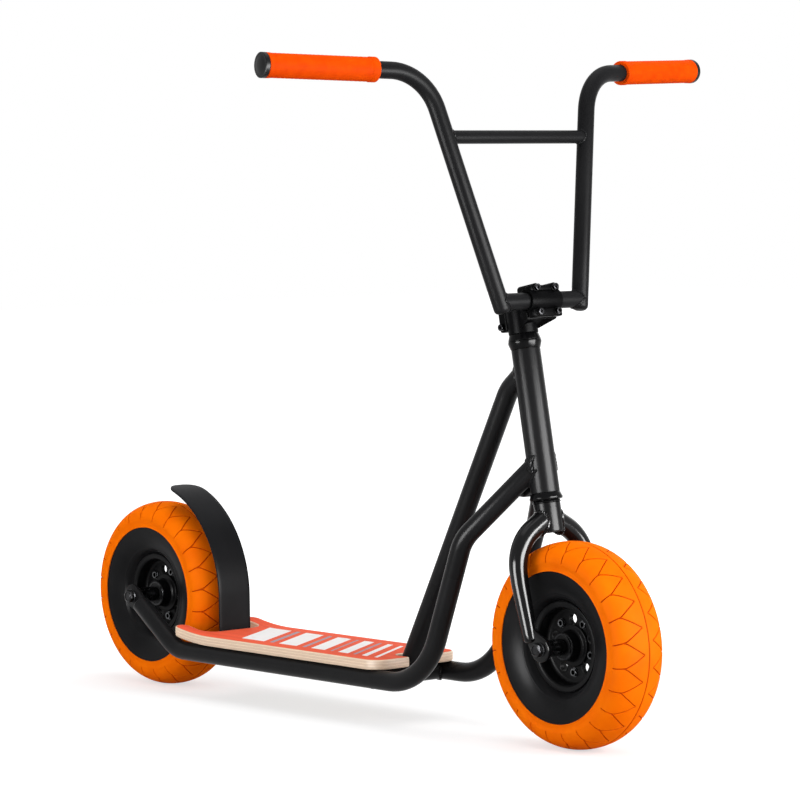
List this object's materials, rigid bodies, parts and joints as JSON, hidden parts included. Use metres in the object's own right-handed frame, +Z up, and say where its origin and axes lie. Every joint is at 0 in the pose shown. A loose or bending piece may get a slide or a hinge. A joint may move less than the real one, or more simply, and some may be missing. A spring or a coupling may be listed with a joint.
{
  "type": "kick scooter",
  "caption": "Big-wheel kick scooter with a tubular steel frame, wooden deck, tall riser handlebar, air-filled split-rim wheels and a sprung strip foot brake over the rear wheel.",
  "frame": {"origin": "on the ground under the middle of the wheelbase, at the bottom centre of the bounding box", "axes": "+X forward, +Y to the rider's left, +Z up"},
  "size_m": [1.135, 0.7596, 0.8923],
  "materials": {
    "satin_black_paint": "satin",
    "gloss_black_paint": "gloss",
    "bar_black_paint": "satin",
    "anodised_black": "satin black anodised",
    "headset_black": "satin",
    "rim_black_paint": "satin",
    "hub_black": "satin",
    "tyre_rubber": "orange tread and black sidewalls",
    "chromed_steel": "polished",
    "dark_steel": "dark",
    "orange_grip_rubber": "matte",
    "plug_plastic": "matte",
    "printed_maple": "printed top, bare plywood edge",
    "matte_black_steel": "matte"
  },
  "bodies": {
    "frame": {"head_tube": "satin_black_paint", "top_tube": "satin_black_paint", "rail_right": "satin_black_paint", "rail_left": "satin_black_paint", "front_cross_tube": "satin_black_paint", "brake_mount": "satin_black_paint", "headset_lower_cup": "headset_black", "headset_upper_cup": "headset_black", "deck": "printed_maple", "deck_screw_1": "dark_steel", "deck_screw_2": "dark_steel", "deck_screw_3": "dark_steel", "deck_screw_4": "dark_steel", "rear_axle": "dark_steel", "rear_axle_nut": "dark_steel"},
    "steering": {"crown_race": "headset_black", "headset_cover": "headset_black", "fork_steerer": "gloss_black_paint", "fork_leg_right": "gloss_black_paint", "fork_leg_left": "gloss_black_paint", "front_axle": "dark_steel", "front_axle_nut": "dark_steel", "stem_body": "anodised_black", "stem_faceplate": "anodised_black", "faceplate_bolt_1": "dark_steel", "faceplate_bolt_2": "dark_steel", "faceplate_bolt_3": "dark_steel", "faceplate_bolt_4": "dark_steel", "pinch_bolt_1": "dark_steel", "pinch_bolt_2": "dark_steel", "stem_top_cap": "headset_black", "handlebar": "bar_black_paint", "grip_right": "orange_grip_rubber", "grip_left": "orange_grip_rubber", "bar_end_plug_right": "plug_plastic", "bar_end_plug_left": "plug_plastic"},
    "front_wheel": {"front_tyre": "tyre_rubber", "front_rim_half_right": "rim_black_paint", "front_rim_half_left": "rim_black_paint", "front_hub": "hub_black", "front_bearing_right": "dark_steel", "front_bearing_left": "dark_steel", "front_rim_bolt_1": "chromed_steel", "front_rim_bolt_2": "chromed_steel", "front_rim_bolt_3": "chromed_steel", "front_rim_bolt_4": "chromed_steel", "front_rim_bolt_5": "chromed_steel"},
    "rear_wheel": {"rear_tyre": "tyre_rubber", "rear_rim_half_right": "rim_black_paint", "rear_rim_half_left": "rim_black_paint", "rear_hub": "hub_black", "rear_bearing_right": "dark_steel", "rear_bearing_left": "dark_steel", "rear_rim_bolt_1": "chromed_steel", "rear_rim_bolt_2": "chromed_steel", "rear_rim_bolt_3": "chromed_steel", "rear_rim_bolt_4": "chromed_steel", "rear_rim_bolt_5": "chromed_steel"},
    "brake": {"brake_fender": "matte_black_steel"}
  },
  "joints": [
    {"name": "steering_turn", "type": "hinge", "parent": "frame", "child": "steering", "pos_m": [0.37933, 0, 0.32696], "axis": [-0.1822, 0, 0.9833], "continuous": true},
    {"name": "front_wheel_spin", "type": "hinge", "parent": "steering", "child": "front_wheel", "pos_m": [0.4335, 0, 0.134], "axis": [0, 1, 0], "continuous": true},
    {"name": "rear_wheel_spin", "type": "hinge", "parent": "frame", "child": "rear_wheel", "pos_m": [-0.4335, 0, 0.134], "axis": [0, 1, 0], "continuous": true},
    {"name": "brake_press", "type": "hinge", "parent": "frame", "child": "brake", "pos_m": [-0.27545, 0, 0.0842], "axis": [0, -1, 0], "range_deg": [0, 8.8], "stiffness_Nm_per_rad": 100}
  ]
}
